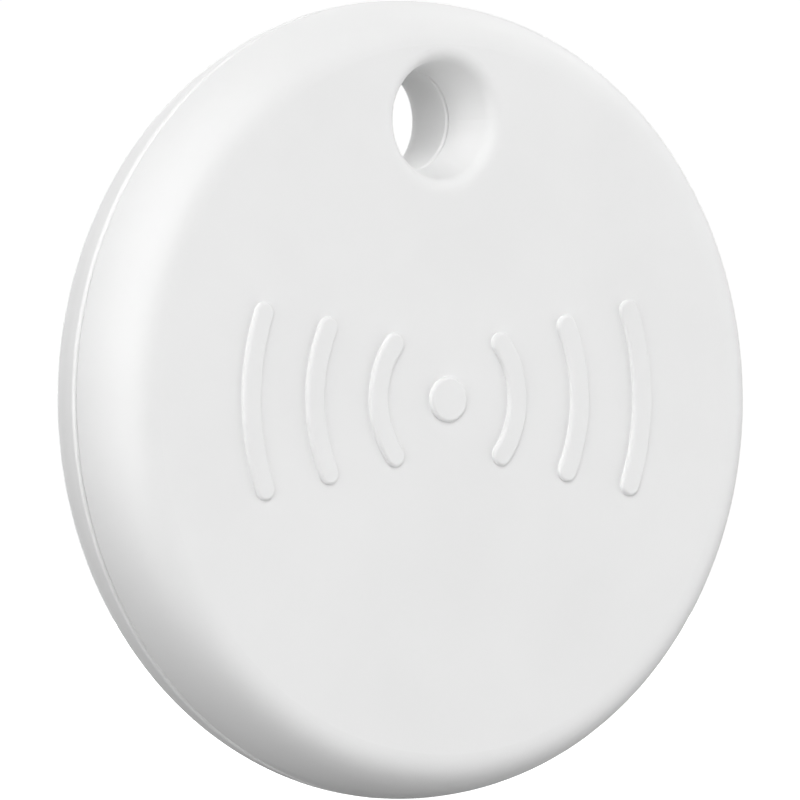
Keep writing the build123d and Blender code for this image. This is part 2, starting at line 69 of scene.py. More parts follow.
class Material:
    """A node material with a Principled shader and short calls for the nodes it needs."""

    def __init__(self, name, **sockets):
        self.material = bpy.data.materials.new(name)
        self.material.use_nodes = True
        self.nodes = self.material.node_tree.nodes
        self.links = self.material.node_tree.links
        self.shader = self.nodes["Principled BSDF"]
        for socket, value in sockets.items():
            self.shader.inputs[socket.replace("_", " ")].default_value = value
        self.place = self.nodes.new("ShaderNodeTexCoord").outputs["Object"]

    def link(self, source, target):
        self.links.new(source, target)
        return target

    def about(self, centre):
        """The place on the object, measured from a centre."""
        node = self.nodes.new("ShaderNodeVectorMath")
        node.operation = "SUBTRACT"
        self.link(self.place, node.inputs[0])
        node.inputs[1].default_value = centre
        return node.outputs["Vector"]

    def noise(self, grain, detail=2.0, roughness=0.5, place=None):
        """Noise whose blotches are about `grain` metres across."""
        node = self.nodes.new("ShaderNodeTexNoise")
        node.inputs["Scale"].default_value = 1 / grain
        node.inputs["Detail"].default_value = detail
        node.inputs["Roughness"].default_value = roughness
        self.link(place or self.place, node.inputs["Vector"])
        return node.outputs["Fac"]

    def grains(self, size):
        """Packed grains about `size` metres across, dark in the middle of each."""
        node = self.nodes.new("ShaderNodeTexVoronoi")
        node.inputs["Scale"].default_value = 1 / size
        self.link(self.place, node.inputs["Vector"])
        return node.outputs["Distance"]

    def lines(self, width, direction, distortion=0.5):
        """Straight lines, `width` metres from one to the next."""
        node = self.nodes.new("ShaderNodeTexWave")
        node.bands_direction = direction
        node.inputs["Scale"].default_value = pi / (10 * width)
        node.inputs["Distortion"].default_value = distortion
        self.link(self.place, node.inputs["Vector"])
        return node.outputs["Fac"]

    def rings(self, width, centre, distortion=0.3):
        """Rings about the Y axis through a centre, `width` metres from one to the next."""
        node = self.nodes.new("ShaderNodeTexWave")
        node.wave_type = "RINGS"
        node.rings_direction = "Y"
        node.inputs["Scale"].default_value = pi / (10 * width)
        node.inputs["Distortion"].default_value = distortion
        self.link(self.about(centre), node.inputs["Vector"])
        return node.outputs["Fac"]

    def weave(self, width, distortion):
        """Squares where lines along X and along Z cross."""
        across = self.lines(width, "X", distortion)
        up = self.lines(width, "Z", distortion)
        return self.product(across, up)

    def product(self, first, second):
        node = self.nodes.new("ShaderNodeMath")
        node.operation = "MULTIPLY"
        self.link(first, node.inputs[0])
        self.link(second, node.inputs[1])
        return node.outputs["Value"]

    def ramp(self, source, low, high, start=0.3, end=0.7):
        """Map a value between two levels to a value or colour between two others."""
        node = self.nodes.new("ShaderNodeMapRange")
        if isinstance(low, tuple):
            node.data_type = "FLOAT_VECTOR"
            self.link(source, node.inputs["Vector"])
            levels = ((start,) * 3, (end,) * 3, low, high)
            for socket, level in enumerate(levels, FIRST_VECTOR_LEVEL):
                node.inputs[socket].default_value = level
            return node.outputs["Vector"]
        self.link(source, node.inputs["Value"])
        node.inputs["From Min"].default_value = start
        node.inputs["From Max"].default_value = end
        node.inputs["To Min"].default_value = low
        node.inputs["To Max"].default_value = high
        return node.outputs["Result"]

    def tint(self, source, colour, spread, start=0.3, end=0.7):
        """A colour that varies a little, darker and lighter by a share."""
        darker = tuple(c * (1 - spread) for c in colour)
        lighter = tuple(min(1.0, c * (1 + spread)) for c in colour)
        self.link(self.ramp(source, darker, lighter, start, end), self.shader.inputs["Base Color"])

    def gloss(self, source, roughness, spread=0.15):
        smoother = roughness * (1 - spread)
        rougher = min(1.0, roughness * (1 + spread))
        self.link(self.ramp(source, smoother, rougher), self.shader.inputs["Roughness"])

    def bump(self, height, depth, strength=0.5):
        """Raise the surface by up to `depth` metres, on top of any bump before."""
        node = self.nodes.new("ShaderNodeBump")
        node.inputs["Distance"].default_value = depth
        node.inputs["Strength"].default_value = strength
        self.link(height, node.inputs["Height"])
        normal = self.shader.inputs["Normal"]
        if normal.is_linked:
            self.link(normal.links[0].from_socket, node.inputs["Normal"])
        self.link(node.outputs["Normal"], normal)


# ---------------------------------------------------------------- kinds of surface
def moulded(name, colour, roughness, grain, **sockets):
    """Moulded plastic: an eroded mould finish, and colour and gloss that drift a little."""
    m = Material(name, IOR=1.5, **sockets)
    m.tint(m.noise(6 * MM), colour, 0.012)
    m.gloss(m.noise(1.5 * MM), roughness, 0.07)
    m.bump(m.noise(grain, detail=3), grain / 30)
    return m.material


def rolled_metal(name, colour, roughness, direction="X"):
    """Sheet metal with the fine lines of the rolling mill and a few handling smudges."""
    m = Material(name, Metallic=1.0)
    m.tint(m.noise(2.5 * MM, detail=4), colour, 0.06)
    m.gloss(m.noise(0.7 * MM, detail=4), roughness, 0.15)
    m.bump(m.lines(0.05 * MM, direction, distortion=4), 0.001 * MM, 0.4)
    m.bump(m.noise(0.4 * MM), 0.0006 * MM, 0.3)
    return m.material


def fired(name, colour, roughness, grain):
    """Fired or pressed powder: packed grains with faint blotches."""
    m = Material(name)
    m.tint(m.noise(1.5 * MM, detail=4), colour, 0.08)
    m.gloss(m.noise(0.3 * MM), roughness, 0.1)
    m.bump(m.grains(grain), grain / 12, 0.6)
    return m.material


# ---------------------------------------------------------------- each material
def case_plastic():
    return moulded("case_plastic", (0.875, 0.876, 0.875), 0.56, 0.12 * MM, Specular_IOR_Level=0.35)


def seal_rubber():
    m = Material("seal_rubber", IOR=1.45, Specular_IOR_Level=0.2)
    m.tint(m.noise(1.2 * MM), (0.86, 0.86, 0.85), 0.03)
    m.gloss(m.noise(0.4 * MM), 0.78, 0.1)
    m.bump(m.noise(0.06 * MM, detail=4), 0.004 * MM, 0.6)
    return m.material


def board_laminate():
    """Green solder mask over glass cloth, whose weave shows through."""
    m = Material("board_laminate", IOR=1.55, Coat_Weight=0.35, Coat_Roughness=0.18)
    weave = m.weave(0.5 * MM, distortion=0.6)
    m.tint(weave, (0.02, 0.17, 0.075), 0.12, start=0.0, end=1.0)
    m.gloss(m.noise(0.8 * MM, detail=4), 0.38, 0.15)
    m.bump(weave, 0.004 * MM, 0.35)
    m.bump(m.noise(0.15 * MM), 0.002 * MM, 0.4)
    return m.material


def nickel_steel():
    """Nickel-plated steel, drawn and turned about the axis of the coin cell."""
    m = Material("nickel_steel", Metallic=1.0)
    m.tint(m.noise(3 * MM, detail=4), (0.72, 0.71, 0.69), 0.04)
    m.gloss(m.noise(0.6 * MM, detail=4), 0.3, 0.2)
    m.bump(m.rings(0.12 * MM, cell_centre, distortion=1.5), 0.0015 * MM, 0.5)
    m.bump(m.noise(0.25 * MM, detail=4), 0.0005 * MM, 0.3)
    return m.material


def cell_polymer():
    return moulded("cell_polymer", (0.16, 0.16, 0.17), 0.5, 0.1 * MM)


def cell_cathode_mass():
    return fired("cell_cathode_mass", (0.055, 0.055, 0.055), 0.85, 0.12 * MM)


def lithium_foil():
    return rolled_metal("lithium_foil", (0.72, 0.73, 0.74), 0.5, "Z")


def buzzer_brass():
    return rolled_metal("buzzer_brass", (0.80, 0.60, 0.28), 0.3)


def piezo_ceramic():
    return fired("piezo_ceramic", (0.70, 0.63, 0.50), 0.6, 0.08 * MM)


def silver_film():
    """Silver paste printed through a screen, whose mesh leaves faint squares."""
    m = Material("silver_film", Metallic=1.0)
    mesh = m.weave(0.22 * MM, distortion=0.2)
    m.tint(m.noise(2 * MM, detail=4), (0.80, 0.79, 0.76), 0.05)
    m.gloss(m.noise(0.5 * MM), 0.45, 0.15)
    m.bump(mesh, 0.003 * MM, 0.5)
    return m.material


def adhesive_tape():
    m = Material("adhesive_tape", IOR=1.47, Coat_Weight=0.2, Coat_Roughness=0.3)
    m.tint(m.noise(1.5 * MM), (0.76, 0.72, 0.62), 0.06)
    m.gloss(m.noise(0.5 * MM), 0.5, 0.2)
    m.bump(m.noise(0.2 * MM, detail=4), 0.005 * MM, 0.5)
    return m.material


def holder_plastic():
    """Black plastic filled with short glass fibres that dull the surface in streaks."""
    m = Material("holder_plastic", IOR=1.55)
    m.tint(m.noise(0.8 * MM, detail=5), (0.042, 0.042, 0.046), 0.25)
    m.gloss(m.lines(0.3 * MM, "DIAGONAL", distortion=12), 0.48, 0.2)
    m.bump(m.noise(0.07 * MM, detail=4), 0.003 * MM, 0.6)
    return m.material


def spring_steel():
    return rolled_metal("spring_steel", (0.66, 0.65, 0.63), 0.28)


def gold_plate():
    m = Material("gold_plate", Metallic=1.0)
    m.tint(m.noise(0.6 * MM, detail=4), (0.88, 0.64, 0.26), 0.06)
    m.gloss(m.noise(0.2 * MM), 0.26, 0.25)
    m.bump(m.noise(0.05 * MM), 0.001 * MM, 0.4)
    return m.material


def chip_epoxy():
    """Black moulding compound with the matt grain of a spark-eroded mould."""
    m = Material("chip_epoxy", IOR=1.55)
    m.tint(m.noise(0.5 * MM, detail=4), (0.030, 0.030, 0.033), 0.18)
    m.gloss(m.noise(0.3 * MM), 0.55, 0.12)
    m.bump(m.grains(0.05 * MM), 0.004 * MM, 0.6)
    return m.material


def antenna_ceramic():
    m = Material("antenna_ceramic", IOR=1.7, Coat_Weight=0.25, Coat_Roughness=0.15)
    m.tint(m.noise(0.8 * MM, detail=3), (0.72, 0.78, 0.80), 0.05)
    m.gloss(m.noise(0.3 * MM), 0.4, 0.15)
    m.bump(m.grains(0.06 * MM), 0.002 * MM, 0.4)
    return m.material


def ferrite():
    return fired("ferrite", (0.10, 0.10, 0.105), 0.55, 0.07 * MM)


def capacitor_ceramic():
    return fired("capacitor_ceramic", (0.50, 0.36, 0.24), 0.5, 0.05 * MM)


def switch_plastic():
    return moulded("switch_plastic", (0.84, 0.83, 0.79), 0.35, 0.1 * MM)


def solder():
    """Tin solder that froze bright, with soft ripples."""
    m = Material("solder", Metallic=1.0)
    m.tint(m.noise(0.4 * MM, detail=3), (0.77, 0.77, 0.76), 0.06)
    m.gloss(m.noise(0.15 * MM), 0.3, 0.3)
    m.bump(m.noise(0.12 * MM, detail=3), 0.006 * MM, 0.6)
    return m.material


def board_ink():
    """White epoxy ink, printed on the board and a little uneven."""
    m = Material("board_ink", IOR=1.5)
    m.tint(m.noise(0.15 * MM, detail=4), (0.82, 0.82, 0.80), 0.07)
    m.gloss(m.noise(0.1 * MM), 0.6, 0.1)
    m.bump(m.noise(0.05 * MM, detail=3), 0.003 * MM, 0.6)
    return m.material


SLOT_MATERIALS = (
    case_plastic,
    seal_rubber,
    board_laminate,
    nickel_steel,
    cell_polymer,
    cell_cathode_mass,
    lithium_foil,
    buzzer_brass,
    piezo_ceramic,
    silver_film,
    adhesive_tape,
    holder_plastic,
    spring_steel,
    gold_plate,
    chip_epoxy,
    antenna_ceramic,
    ferrite,
    capacitor_ceramic,
    switch_plastic,
)
materials = {make.__name__: make() for make in SLOT_MATERIALS}


def finish_nodes():
    """Give each piece of the CAD model the material of its slot."""
    for part in frame["record"]["subparts"]:
        node = frame["nodes"][part["node"]]
        node.data.materials.clear()
        node.data.materials.append(materials[part["material_slot"]])


finish_nodes()


# ---------------------------------------------------------------- outlines in X and Z
SHORTEST_RUN = 0.01 * MM


def circle(radius, steps=32):
    angles = [2 * pi * i / steps for i in range(steps)]
    return [(radius * cos(angle), radius * sin(angle)) for angle in angles]


def rounded_rectangle(width, height, corner, steps=4):
    points = []
    for quarter, (right, up) in enumerate(((1, 1), (-1, 1), (-1, -1), (1, -1))):
        for step in range(steps + 1):
            angle = pi / 2 * (quarter + step / steps)
            x = right * (width / 2 - corner) + corner * cos(angle)
            z = up * (height / 2 - corner) + corner * sin(angle)
            points.append((x, z))
    return points


def plus_sign(size, stroke):
    """A cross with square ends, counter-clockwise from the right arm."""
    near, far = stroke / 2, size / 2
    arm = ((near, near), (near, far), (-near, far))
    points = []
    for quarter in range(4):
        c, s = round(cos(pi / 2 * quarter)), round(sin(pi / 2 * quarter))
        points += [(c * x - s * z, s * x + c * z) for x, z in arm[:2]]
        points.append((c * arm[2][0] - s * arm[2][1], s * arm[2][0] + c * arm[2][1]))
    return points


def moved(outline, x, z, turn=0.0):
    """Turn an outline by an angle in degrees, then move it."""
    c, s = cos(radians(turn)), sin(radians(turn))
    return [(x + c * px - s * pz, z + s * px + c * pz) for px, pz in outline]


def side_steps(before, here, after):
    """The sideways direction at a point of a path, stretched so that widths stay even."""
    ahead = (after - here).normalized()
    behind = (here - before).normalized()
    across = Vector((-(ahead.y + behind.y), ahead.x + behind.x)).normalized()
    return across / max(0.5, across.dot(Vector((-ahead.y, ahead.x))))


def inset(outline, distance):
    """Pull a counter-clockwise outline inwards."""
    points = [Vector(p) for p in outline]
    count = len(points)
    pulled = []
    for i, here in enumerate(points):
        across = side_steps(points[i - 1], here, points[(i + 1) % count])
        pulled.append(tuple(here + across * distance))
    return pulled


def band(path, width):
    """The outline of a band along an open path."""
    points = [Vector(p) for p in path]
    first = points[0] * 2 - points[1]
    last = points[-1] * 2 - points[-2]
    around = [first, *points, last]
    sides = [side_steps(*around[i : i + 3]) * width / 2 for i in range(len(points))]
    right = [tuple(p - s) for p, s in zip(points, sides)]
    left = [tuple(p + s) for p, s in zip(points, sides)]
    return right + left[::-1]


def on_disc(radius, bearing, centre=None):
    """The point at a distance and a bearing from the middle of the disc."""
    centre = centre or disc_centre
    return centre.x + radius * cos(radians(bearing)), centre.z + radius * sin(radians(bearing))


def arc(radius, start, end, step=3):
    """Points along the board at one distance from the middle of the disc."""
    count = max(2, round(abs(end - start) / step))
    return [on_disc(radius, start + (end - start) * i / count) for i in range(count + 1)]


def elbow(start, end):
    """A straight run that ends in a run at 45 degrees, or one run if either is too short."""
    across, up = end[0] - start[0], end[1] - start[1]
    diagonal = min(abs(across), abs(up))
    corner = (end[0] - copysign(diagonal, across), end[1] - copysign(diagonal, up))
    straight = (Vector(corner) - Vector(start)).length
    return [start, corner, end] if min(straight, diagonal) > SHORTEST_RUN else [start, end]


# ---------------------------------------------------------------- solids from outlines
def join_rings(mesh, rings, closed=False):
    """Skin rings of as many vertices each, one to the next."""
    pairs = list(zip(rings, rings[1:]))
    if closed:
        pairs.append((rings[-1], rings[0]))
    for lower, upper in pairs:
        for i in range(len(lower)):
            mesh.faces.new((lower[i - 1], lower[i], upper[i], upper[i - 1]))


def new_ring(mesh, outline, depth):
    return [mesh.verts.new((x, depth, z)) for x, z in outline]


def add_slab(mesh, outline, front, rear, edge=0.0):
    """Fill an outline between two depths, with a chamfer round the front."""
    rings = [new_ring(mesh, outline, rear), new_ring(mesh, outline, front + edge)]
    if edge:
        rings.append(new_ring(mesh, inset(outline, edge), front))
    join_rings(mesh, rings)
    mesh.faces.new(rings[0])
    mesh.faces.new(rings[-1][::-1])


def add_frame(mesh, outer, inner, front, rear):
    """Fill between two outlines of as many points each."""
    loops = ((outer, rear), (outer, front), (inner, front), (inner, rear))
    join_rings(mesh, [new_ring(mesh, outline, depth) for outline, depth in loops], closed=True)


def add_dome(mesh, x, z, base, radius, rise, steps=5):
    """A round blob of plastic or metal with a crown that faces the front."""
    rings = []
    for step in range(steps):
        angle = pi / 2 * step / steps
        outline = moved(circle(radius * cos(angle), 24), x, z)
        rings.append(new_ring(mesh, outline, base - rise * sin(angle)))
    join_rings(mesh, rings)
    mesh.faces.new(rings[0])
    crown = mesh.verts.new((x, base - rise, z))
    for i in range(len(rings[-1])):
        mesh.faces.new((rings[-1][i - 1], rings[-1][i], crown))


def wetting(reach, rise, steps=5):
    """The hollow curve of solder that climbs from the board up a wall."""
    curve = []
    for step in range(steps + 1):
        angle = pi / 2 * step / steps
        curve.append((reach * (1 - sin(angle)), rise * (1 - cos(angle))))
    return curve


def add_collar(mesh, x, z, base, radius, reach, rise):
    """Solder round a pin."""
    rings = []
    for out, up in wetting(reach, rise):
        rings.append(new_ring(mesh, moved(circle(radius + out), x, z), base - up))
    rings.append(new_ring(mesh, moved(circle(radius), x, z), base))
    join_rings(mesh, rings, closed=True)


def make_piece(name, mesh, body, material):
    """Finish a mesh as a piece that rides on a body and wears the material it is given."""
    bmesh.ops.recalc_face_normals(mesh, faces=mesh.faces)
    data = bpy.data.meshes.new(name)
    mesh.to_mesh(data)
    mesh.free()
    data.materials.append(material)
    data.shade_smooth()
    data.set_sharp_from_angle(angle=radians(35))
    piece = bpy.data.objects.new(name, data)
    bpy.context.collection.objects.link(piece)
    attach(piece, body)


# ---------------------------------------------------------------- solids of the CAD model
class Block:
    """A box-shaped solid that lies on the board at any turn."""

    def __init__(self, points):
        middle = sum(points, Vector()) / len(points)
        xx = sum((p.x - middle.x) ** 2 for p in points)
        zz = sum((p.z - middle.z) ** 2 for p in points)
        xz = sum((p.x - middle.x) * (p.z - middle.z) for p in points)
        is_square = abs(xx - zz) + abs(xz) < 0.01 * (xx + zz)
        angle = 0.0 if is_square else atan2(2 * xz, xx - zz) / 2
        self.turn = degrees(angle)
        self.along = Vector((cos(angle), sin(angle)))
        self.across = Vector((-sin(angle), cos(angle)))
        flat = [Vector((p.x, p.z)) for p in points]
        lengths = [p.dot(self.along) for p in flat]
        widths = [p.dot(self.across) for p in flat]
        self.length = max(lengths) - min(lengths)
        self.width = max(widths) - min(widths)
        self.middle = self.along * (max(lengths) + min(lengths)) / 2
        self.middle += self.across * (max(widths) + min(widths)) / 2
        self.front = min(p.y for p in points)
        self.rear = max(p.y for p in points)

    def at(self, along=0.0, across=0.0):
        return tuple(self.middle + self.along * along + self.across * across)

    def outline(self, length, width, corner, along=0.0, across=0.0):
        return moved(rounded_rectangle(length, width, corner), *self.at(along, across), self.turn)


def blocks_of(node):
    """Each separate solid of a CAD node."""
    mesh = bmesh.new()
    mesh.from_mesh(frame["nodes"][node].data)
    bmesh.ops.remove_doubles(mesh, verts=mesh.verts, dist=0.001 * MM)
    unseen = set(mesh.verts)
    groups = []
    while unseen:
        group = [unseen.pop()]
        for vert in group:
            beside = {edge.other_vert(vert) for edge in vert.link_edges} & unseen
            unseen -= beside
            group.extend(beside)
        groups.append([vert.co.copy() for vert in group])
    mesh.free()
    groups.sort(key=lambda points: min((p.x, p.z) for p in points))
    return [Block(points) for points in groups]


def block_of(node):
    return blocks_of(node)[0]


# ---------------------------------------------------------------- detail on the board
TERMINAL_SKIN = 0.02 * MM     # how far end caps and lids stand out of their part
TRACK_RISE = 0.03 * MM
TRACK_WIDTH = 0.22 * MM
POWER_TRACK_WIDTH = 0.6 * MM
INK_RISE = 0.015 * MM
INK_WIDTH = 0.14 * MM
VIA_RADIUS = 0.22 * MM
VIA_BORE = 0.1 * MM
VIA_SIDES = 20
board_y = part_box("circuit_board")[0].y
under_board_y = board_y + 0.02 * MM


def add_end_caps(mesh, block, share):
    """Metal over both ends of a part."""
    cap = share * block.length
    for end in (-1, 1):
        outline = block.outline(
            cap + TERMINAL_SKIN,
            block.width + 2 * TERMINAL_SKIN,
            0.06 * MM,
            along=end * (block.length + TERMINAL_SKIN - cap) / 2,
        )
        add_slab(mesh, outline, block.front - TERMINAL_SKIN, block.rear, edge=0.05 * MM)


def add_end_solder(mesh, block, reach, rise_share):
    """Solder that climbs the ends of a part."""
    rise = rise_share * (block.rear - block.front)
    half = 0.45 * block.width
    for end in (-1, 1):
        rings = []
        for out, up in [*wetting(reach, rise), (0.0, 0.0)]:
            along = end * (block.length / 2 + out)
            sides = (block.at(along, -half), block.at(along, half))
            rings.append([mesh.verts.new((x, block.rear - up, z)) for x, z in sides])
        count = len(rings)
        for i in range(count):
            near, far = rings[i - 1], rings[i]
            mesh.faces.new((near[0], near[1], far[1], far[0]))
        mesh.faces.new([ring[0] for ring in rings])
        mesh.faces.new([ring[1] for ring in rings][::-1])


def add_terminals():
    caps, joints = bmesh.new(), bmesh.new()
    for node, share in (
        ("capacitors", 0.24),
        ("resistors", 0.22),
        ("reservoir_capacitor", 0.2),
        ("clock_crystal", 0.2),
        ("boost_inductor", 0.14),
        ("chip_antenna", 0.14),
    ):
        for block in blocks_of(node):
            add_end_caps(caps, block, share)
            add_end_solder(joints, block, reach=0.25 * MM, rise_share=0.55)
    make_piece("terminals", caps, "rear_case", solder_metal)
    for block in blocks_of("pin_barrels"):
        x, z = block.at()
        add_collar(joints, x, z, board_y, block.width / 2, reach=0.35 * MM, rise=0.4 * MM)
    for block in blocks_of("switch_legs"):
        add_end_solder(joints, block, reach=0.3 * MM, rise_share=0.9)
    make_piece("solder_joints", joints, "rear_case", solder_metal)


def add_chip_pads():
    """Rows of soldered pads along the four sides of each chip."""
    mesh = bmesh.new()
    pad_width, pad_reach, pad_height = 0.24 * MM, 0.2 * MM, 0.1 * MM
    for node, count in (("radio_chip", 8), ("buzzer_driver", 4)):
        block = block_of(node)
        pitch = 0.86 * block.length / count
        for side in range(4):
            for index in range(count):
                step = (index - (count - 1) / 2) * pitch
                out = block.length / 2
                outline = moved(rounded_rectangle(2 * pad_reach, pad_width, 0.05 * MM), out, step)
                outline = moved(outline, *block.at(), block.turn + 90 * side)
                add_slab(mesh, outline, board_y - pad_height, under_board_y, edge=0.04 * MM)
    make_piece("chip_pads", mesh, "rear_case", solder_metal)


def add_pin_one_marks():
    """The raised rim of the round dimple by the first pin of each chip."""
    mesh = bmesh.new()
    for node in ("radio_chip", "buzzer_driver"):
        block = block_of(node)
        corner = -0.34 * block.length
        x, z = block.at(corner, -corner)
        outer = moved(circle(0.07 * block.length), x, z)
        inner = moved(circle(0.05 * block.length), x, z)
        add_frame(mesh, outer, inner, block.front - 0.02 * MM, block.front + 0.02 * MM)
    make_piece("pin_one_marks", mesh, "rear_case", materials["chip_epoxy"])


def add_crystal_lids():
    """Seam-welded lids on the two crystals."""
    mesh = bmesh.new()
    for node in ("main_crystal", "clock_crystal"):
        block = block_of(node)
        outline = block.outline(0.8 * block.length, 0.8 * block.width, 0.18 * MM)
        add_slab(mesh, outline, block.front - 0.05 * MM, block.front + 0.02 * MM, edge=0.03 * MM)
    make_piece("crystal_lids", mesh, "rear_case", materials["nickel_steel"])


def add_inductor_top():
    """The round flange and its resin ring on the inductor's ferrite."""
    mesh = bmesh.new()
    block = block_of("boost_inductor")
    x, z = block.at()
    outer, inner = 0.42 * block.length, 0.36 * block.length
    add_frame(
        mesh,
        moved(circle(outer, 48), x, z),
        moved(circle(inner, 48), x, z),
        block.front - 0.04 * MM,
        block.front + 0.02 * MM,
    )
    make_piece("inductor_top", mesh, "rear_case", materials["ferrite"])


def add_antenna_strips():
    """Slanted silver strips printed across the chip antenna."""
    mesh = bmesh.new()
    block = block_of("chip_antenna")
    strips, slant = 6, 0.18 * MM
    half = 0.46 * block.width
    for index in range(strips):
        along = (index - (strips - 1) / 2) * 0.11 * block.length
        path = [block.at(along - slant / 2, -half), block.at(along + slant / 2, half)]
        add_slab(mesh, band(path, 0.13 * MM), block.front - 0.012 * MM, block.front + 0.01 * MM)
    make_piece("antenna_strips", mesh, "rear_case", materials["silver_film"])


def add_switch_pegs():
    """Plastic pegs of the switch, melted over its metal cover."""
    mesh = bmesh.new()
    block = block_of("switch_cover")
    offset = 0.4 * block.length
    for right in (-1, 1):
        for up in (-1, 1):
            x, z = block.at(right * offset, up * offset)
            add_dome(mesh, x, z, block.front + 0.05 * MM, 0.3 * MM, 0.17 * MM)
    make_piece("switch_pegs", mesh, "rear_case", materials["holder_plastic"])


def add_contact_welds():
    """Weld spots that fix the leaf contact's hub to the board."""
    mesh = bmesh.new()
    hub_front = board_y - 0.15 * MM
    for bearing in (30, 150, 270):
        x, z = on_disc(1.3 * MM, bearing, cell_centre)
        add_dome(mesh, x, z, hub_front + 0.02 * MM, 0.35 * MM, 0.08 * MM)
    make_piece("contact_welds", mesh, "rear_case", materials["spring_steel"])


def bearing_of(block):
    """The bearing of a part from the middle of the disc, in degrees."""
    return degrees(atan2(block.middle.y - disc_centre.z, block.middle.x - disc_centre.x))


def board_routes():
    """Each track as its width and path, between the parts that it joins."""
    radio, driver = block_of("radio_chip"), block_of("buzzer_driver")
    inductor, reservoir = block_of("boost_inductor"), block_of("reservoir_capacitor")
    crystal, clock = block_of("main_crystal"), block_of("clock_crystal")
    antenna, switch = block_of("chip_antenna"), block_of("switch_body")
    contacts = blocks_of("positive_contacts")
    pins = blocks_of("pin_barrels")
    thin, wide = TRACK_WIDTH, POWER_TRACK_WIDTH
    radio_left = radio.at(-radio.length / 2, 0.3 * radio.width)
    radio_top = radio.at(0.1 * radio.length, radio.width / 2)
    routes = [
        (thin, [radio_left, *arc(16.5 * MM, 148, 218), antenna.at(-antenna.length / 2)]),
        (thin, elbow(radio_top, crystal.at(-0.3 * MM, 0.8 * MM))),
        (thin, elbow(radio.at(-0.2 * radio.length, -radio.width / 2), clock.at(1.2 * MM))),
        (thin, elbow(radio.at(0.0, -radio.width / 2), clock.at(-1.2 * MM))),
        (wide, elbow(contacts[0].at(), reservoir.at(-1.2 * MM))),
        (wide, elbow(reservoir.at(1.2 * MM), radio.at(-0.3 * radio.length, -radio.width / 2))),
        (wide, elbow(contacts[1].at(), inductor.at(0.0, 1.2 * MM))),
        (wide, elbow(inductor.at(-1.0 * MM), driver.at(0.0, 1.0 * MM))),
        (wide, elbow(inductor.at(1.0 * MM), driver.at(0.8 * MM, 0.9 * MM))),
        (thin, [driver.at(0.3 * MM, -1.2 * MM), *arc(14.4 * MM, -42, -82), pins[1].at()]),
        (thin, [driver.at(0.8 * MM, -1.2 * MM), *arc(14.78 * MM, -40, -80), pins[1].at()]),
        (thin, [driver.at(-0.3 * MM, -1.2 * MM), *arc(14.05 * MM, -44, -90), pins[0].at()]),
        (thin, [switch.at(2.3 * MM, -1.2 * MM), *arc(16.55 * MM, 21, -6), inductor.at(1.4 * MM)]),
        (thin, elbow(switch.at(-2.3 * MM, 1.2 * MM), on_disc(12.6 * MM, 68))),
    ]
    for node, outer, inner in (
        ("resistors", 15.4 * MM, 13.2 * MM),
        ("capacitors", 15.4 * MM, 13.6 * MM),
        ("test_pads", 15.5 * MM, 8.6 * MM),
    ):
        for block in blocks_of(node):
            bearing = bearing_of(block)
            routes.append((thin, [on_disc(outer, bearing), on_disc(inner, bearing)]))
    return routes


def add_tracks():
    mesh = bmesh.new()
    for width, path in board_routes():
        add_slab(mesh, band(path, width), board_y - TRACK_RISE, under_board_y, edge=0.012 * MM)
    make_piece("board_tracks", mesh, "rear_case", materials["board_laminate"])


def via_places():
    """Vias along the rim, at the ends of the short tracks, and round the leaf contact."""
    places = []
    for start, end in ((-42, -8), (30, 52), (78, 104), (226, 292)):
        places += [on_disc(16.6 * MM, bearing) for bearing in range(start, end, 5)]
    for start, end, radius in ((52, 76, 13.2), (108, 132, 13.6)):
        places += [on_disc(radius * MM, bearing) for bearing in range(start, end, 4)]
    places += [on_disc(8.6 * MM, bearing) for bearing in range(-72, -47, 6)]
    places += [on_disc(3.3 * MM, bearing, cell_centre) for bearing in (30, 60, 150, 180, 270, 300)]
    return places


def add_vias():
    mesh = bmesh.new()
    for x, z in via_places():
        outer = moved(circle(VIA_RADIUS, VIA_SIDES), x, z)
        inner = moved(circle(VIA_BORE, VIA_SIDES), x, z)
        add_frame(mesh, outer, inner, board_y - 1.3 * TRACK_RISE, under_board_y)
    make_piece("board_vias", mesh, "rear_case", materials["gold_plate"])


def add_ink():
    """Printed outlines round the parts, a dot at each first pin and a plus by the contact."""
    mesh = bmesh.new()
    front = board_y - INK_RISE
    for node in (
        "radio_chip",
        "main_crystal",
        "clock_crystal",
        "boost_inductor",
        "buzzer_driver",
        "chip_antenna",
        "reservoir_capacitor",
        "switch_body",
    ):
        block = block_of(node)
        gap = 0.36 * MM if node != "main_crystal" else 0.2 * MM
        length, width = block.length + 2 * gap, block.width + 2 * gap
        outer = block.outline(length + 2 * INK_WIDTH, width + 2 * INK_WIDTH, 0.3 * MM)
        inner = block.outline(length, width, 0.3 * MM - INK_WIDTH)
        add_frame(mesh, outer, inner, front, under_board_y)
    for node in ("radio_chip", "buzzer_driver"):
        block = block_of(node)
        reach = block.length / 2 + 0.75 * MM
        add_slab(mesh, moved(circle(0.16 * MM), *block.at(-reach, reach)), front, under_board_y)
    add_slab(
        mesh, moved(plus_sign(1.1 * MM, 0.22 * MM), *on_disc(15.0 * MM, 1)), front, under_board_y
    )
    make_piece("board_ink_marks", mesh, "rear_case", board_print)


